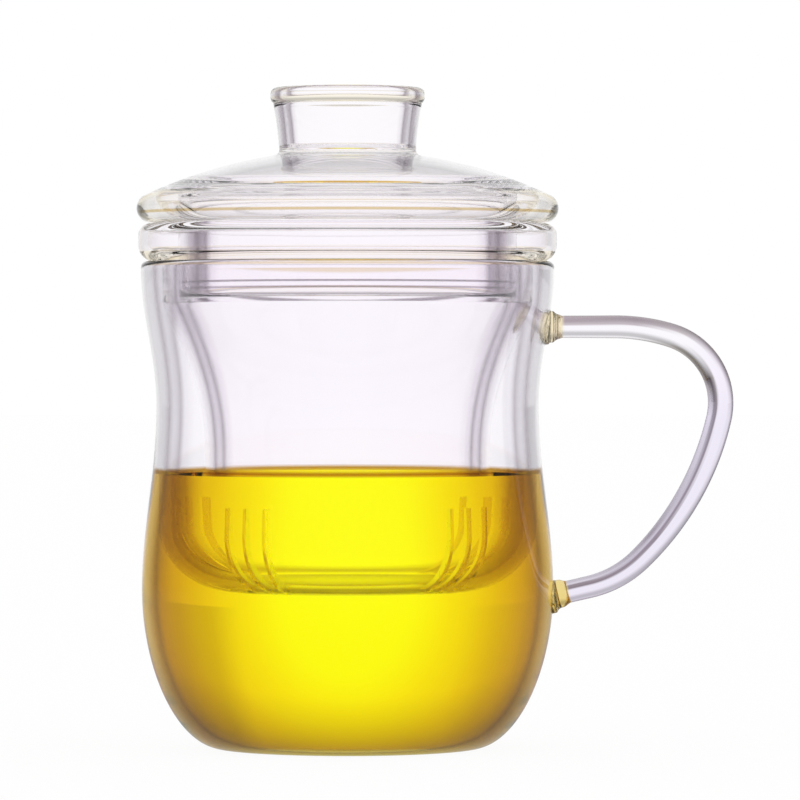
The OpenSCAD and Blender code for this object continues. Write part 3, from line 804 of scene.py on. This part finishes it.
studio = {
    "floorSize": 6, "eye": (0.0108, -1.25, 0.083), "lensPixels": 6062, "picture": 800, "tiltPixels": -54.8,
    "sensor": 36, "nearest": 0.01, "bounces": 32, "glossyBounces": 12,
    "paper": (0.9, 0.9, 0.9), "paperRoughness": 0.9, "paperShare": 0.05,
    "floorGleam": 0.45, "farFloor": 1.5, "farGleam": 0.97,
    # brightness behind glass, by degrees to the side of each wall's middle, and by degrees up
    "walls": [(-45, 1), (-37, 0.92), (-25, 0.92), (-17, 1), (15, 1), (21, 0.8), (33, 0.8), (41, 1), (45, 1)],
    "roof": [(-90, 1), (10, 1), (22, 0.6), (34, 0.6), (44, 0.95), (90, 0.95)],
    # brightness in reflections, by degrees up, and what the dark flags at both sides leave of it
    "gleam": [(-90, 0.9), (0, 0.97), (20, 0.97), (33, 0.75), (50, 0.95), (90, 0.95)],
    "flags": [(0, 1), (12, 0.95), (26, 0.34), (60, 0.3), (85, 0.38), (125, 0.75), (150, 0.95), (180, 1)],
    "aboveFlags": [(-90, 1), (-60, 1), (-35, 0), (35, 0), (60, 1), (90, 1)],
}


def studioCamera():
    data = bpy.data.cameras.new("camera")
    data.sensor_width = studio["sensor"]
    data.lens = studio["lensPixels"] / studio["picture"] * data.sensor_width
    data.clip_start = studio["nearest"]
    camera = bpy.data.objects.new("camera", data)
    camera.location = studio["eye"]
    camera.rotation_euler = (math.pi / 2 + math.atan(studio["tiltPixels"] / studio["lensPixels"]), 0, 0)
    scene.collection.objects.link(camera)
    scene.camera = camera


def rays(tree):
    # rays of the eye, rays that came through glass, and rays that a surface threw back
    path = tree.nodes.new("ShaderNodeLightPath")
    through = path.outputs["Is Transmission Ray"]
    thrown = calc(tree, "SUBTRACT", path.outputs["Is Glossy Ray"], through, clamp=True)
    return path.outputs["Is Camera Ray"], through, thrown


def mixValue(tree, factor, a, b):
    node = tree.nodes.new("ShaderNodeMix")
    node.data_type = "FLOAT"
    for value, socket in ((factor, node.inputs["Factor"]), (a, node.inputs[2]), (b, node.inputs[3])):
        feed(tree, value, socket)
    return node.outputs[0]


def levels(tree, angle, stops):
    # brightness that changes with an angle in degrees
    low, high = stops[0][0], stops[-1][0]
    place = calc(tree, "DIVIDE", calc(tree, "SUBTRACT", angle, low), high - low)
    curve = ramp(tree.nodes, [((a - low) / (high - low), (level,) * 3) for a, level in stops])
    link(tree, place, curve.inputs["Fac"])
    return curve.outputs["Color"]


def bearing(tree, x, y):
    # direction from the middle, in degrees from +Y
    return calc(tree, "MULTIPLY", calc(tree, "ARCTAN2", x, y), 180 / math.pi)


def flags(tree, x, y):
    # how much of the wall the dark flags leave
    return levels(tree, calc(tree, "ABSOLUTE", bearing(tree, x, y)), studio["flags"])


def studioFloor():
    bm = bmesh.new()
    bmesh.ops.create_grid(bm, x_segments=1, y_segments=1, size=studio["floorSize"])
    mesh = bpy.data.meshes.new("floor")
    bm.to_mesh(mesh)
    bm.free()
    floor = bpy.data.objects.new("floor", mesh)
    scene.collection.objects.link(floor)
    material = bpy.data.materials.new("whitePaper")
    material.use_nodes = True
    tree = material.node_tree
    paper = tree.nodes["Principled BSDF"]
    paper.inputs["Base Color"].default_value = (*studio["paper"], 1)
    paper.inputs["Roughness"].default_value = studio["paperRoughness"]
    eye, through, thrown = rays(tree)
    glow = tree.nodes.new("ShaderNodeEmission")
    coords, split = tree.nodes.new("ShaderNodeTexCoord"), tree.nodes.new("ShaderNodeSeparateXYZ")
    link(tree, coords.outputs["Object"], split.inputs[0])
    x, y = split.outputs[:2]
    far = calc(tree, "DIVIDE", distance(tree, x, y), studio["farFloor"], clamp=True)
    wall = calc(tree, "MULTIPLY", flags(tree, x, y), studio["farGleam"])
    gleam = mixValue(tree, far, studio["floorGleam"], wall)
    link(tree, mixValue(tree, thrown, 1.0, gleam), glow.inputs["Strength"])
    both = tree.nodes.new("ShaderNodeMixShader")
    share = calc(tree, "MULTIPLY", eye, 1 - studio["paperShare"])
    share = calc(tree, "ADD", share, calc(tree, "ADD", through, thrown), clamp=True)
    link(tree, share, both.inputs[0])
    link(tree, paper.outputs[0], both.inputs[1])
    link(tree, glow.outputs[0], both.inputs[2])
    link(tree, both.outputs[0], tree.nodes["Material Output"].inputs["Surface"])
    floor.data.materials.append(material)


def studioWorld():
    world = bpy.data.worlds.new("studio")
    scene.world = world
    world.use_nodes = True
    tree = world.node_tree
    coords = tree.nodes.new("ShaderNodeTexCoord")
    split = tree.nodes.new("ShaderNodeSeparateXYZ")
    link(tree, coords.outputs["Generated"], split.inputs[0])
    x, y, z = split.outputs
    around = bearing(tree, x, y)
    # 405 is 45 past a full turn, so that each quarter turn gives -45 to 45
    aside = calc(tree, "SUBTRACT", calc(tree, "MODULO", calc(tree, "ADD", around, 405.0), 90.0), 45.0)
    up = calc(tree, "MULTIPLY", calc(tree, "ARCSINE", z), 180 / math.pi)
    lit = calc(tree, "MULTIPLY", levels(tree, aside, studio["walls"]), levels(tree, up, studio["roof"]))
    through, thrown = rays(tree)[1:]
    level = mixValue(tree, through, 1.0, lit)
    spared = calc(tree, "ADD", flags(tree, x, y), levels(tree, up, studio["aboveFlags"]), clamp=True)
    level = mixValue(tree, thrown, level, calc(tree, "MULTIPLY", levels(tree, up, studio["gleam"]), spared))
    link(tree, level, tree.nodes["Background"].inputs["Strength"])
    tree.nodes["Background"].inputs["Color"].default_value = (1, 1, 1, 1)


studioCamera()
studioFloor()
studioWorld()
scene.view_settings.view_transform = "Standard"
scene.cycles.max_bounces = studio["bounces"]
scene.cycles.transmission_bounces = studio["bounces"]
scene.cycles.glossy_bounces = studio["glossyBounces"]
print("studio set")
